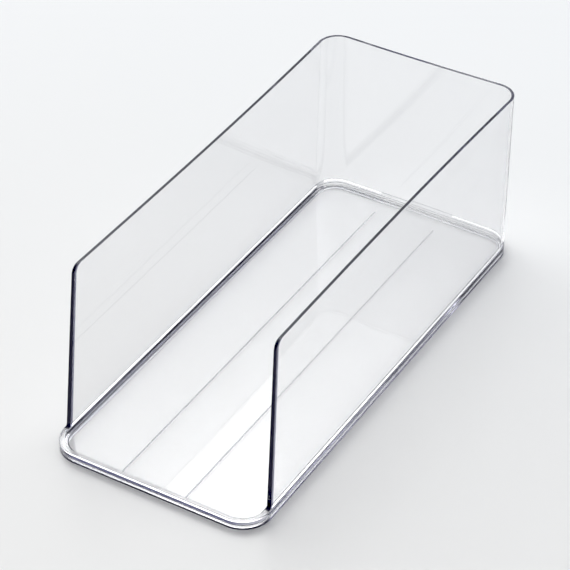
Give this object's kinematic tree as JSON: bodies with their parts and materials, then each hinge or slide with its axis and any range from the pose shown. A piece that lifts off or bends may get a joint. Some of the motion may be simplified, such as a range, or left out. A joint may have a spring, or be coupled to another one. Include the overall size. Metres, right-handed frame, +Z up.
{
  "type": "magazine rack",
  "caption": "Clear plastic magazine rack: a long open-topped bin with rounded back corners, an open front behind a low lip, and leaning front edges.",
  "frame": {"origin": "middle of the base, on the surface that the rack stands on", "axes": "+Z up, +Y from the open front to the back wall, +X to the right seen from the front"},
  "size_m": [0.108, 0.247, 0.0895],
  "materials": {
    "clear_wall": "clear, polished, colourless",
    "clear_rim": "clear, polished, rounded lip",
    "clear_foot": "clear, polished, rounded ring",
    "clear_floor": "clear, polished, flat",
    "clear_rib": "clear, polished, thin rib"
  },
  "bodies": {
    "root": {"wall_wrap": "clear_wall", "rim_bead": "clear_rim", "foot_ring": "clear_foot", "floor_plate": "clear_floor", "floor_rib_left": "clear_rib", "floor_rib_right": "clear_rib"}
  },
  "joints": []
}
